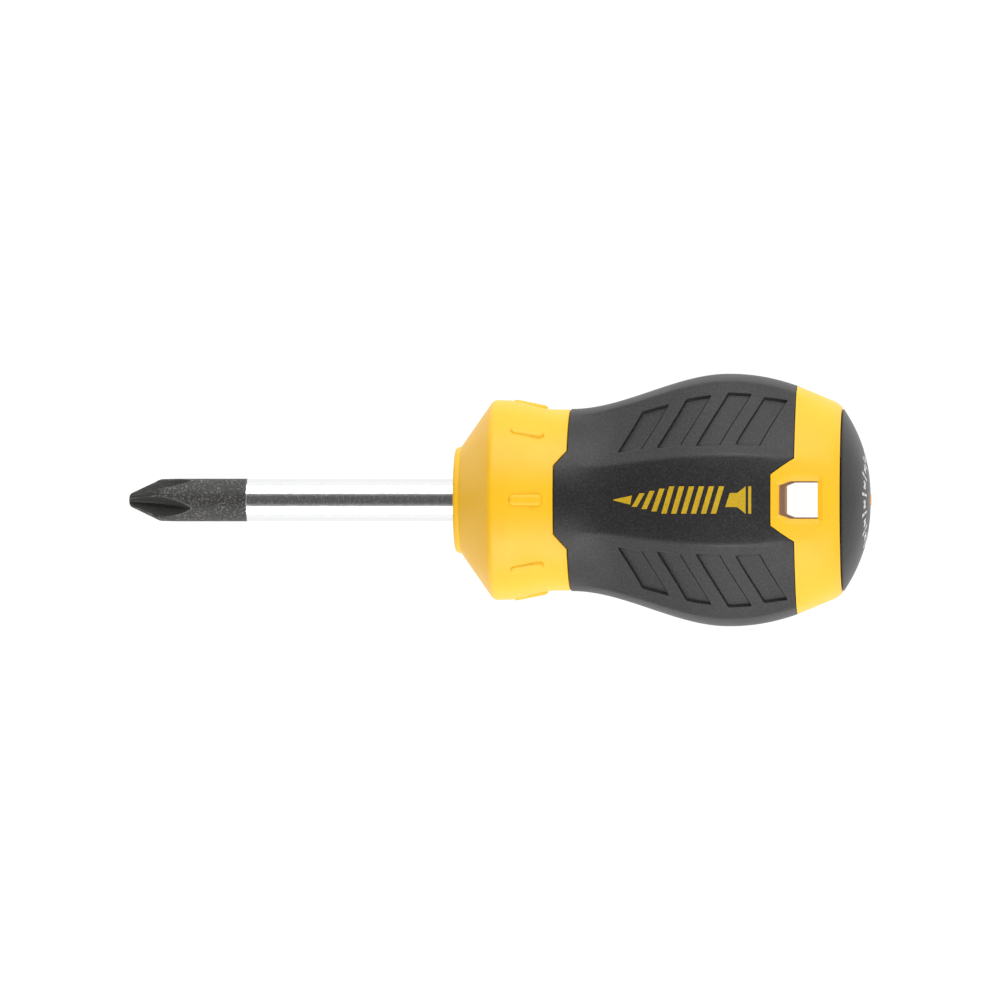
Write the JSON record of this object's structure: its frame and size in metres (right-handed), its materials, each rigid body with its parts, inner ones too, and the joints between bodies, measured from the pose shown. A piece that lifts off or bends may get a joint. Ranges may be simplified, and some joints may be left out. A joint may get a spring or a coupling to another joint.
{
  "type": "stubby screwdriver",
  "caption": "Short cross-head screwdriver with a round steel blade and a bulging two-colour handle with a soft slotted grip and a hanging hole.",
  "frame": {"origin": "centre of the flat end of the blade's point, on the tool's axis", "axes": "+X along the tool from the point to the handle's end, +Z out of one of the two panels that the hanging hole goes through, +Y across the tool"},
  "size_m": [0.102, 0.0346, 0.033],
  "materials": {
    "blade_steel": "polished, with a black sandblasted point",
    "core_plastic": "moulded",
    "yellow_plastic": "fine satin grain",
    "grip_rubber": "fine matt grain",
    "cap_plastic": "smooth",
    "dot_plastic": "smooth"
  },
  "bodies": {
    "root": {"blade": "blade_steel", "core": "core_plastic", "nose_collar": "yellow_plastic", "grip": "grip_rubber", "rear_band": "yellow_plastic", "end_cap": "cap_plastic", "colour_dot": "dot_plastic"}
  },
  "joints": []
}
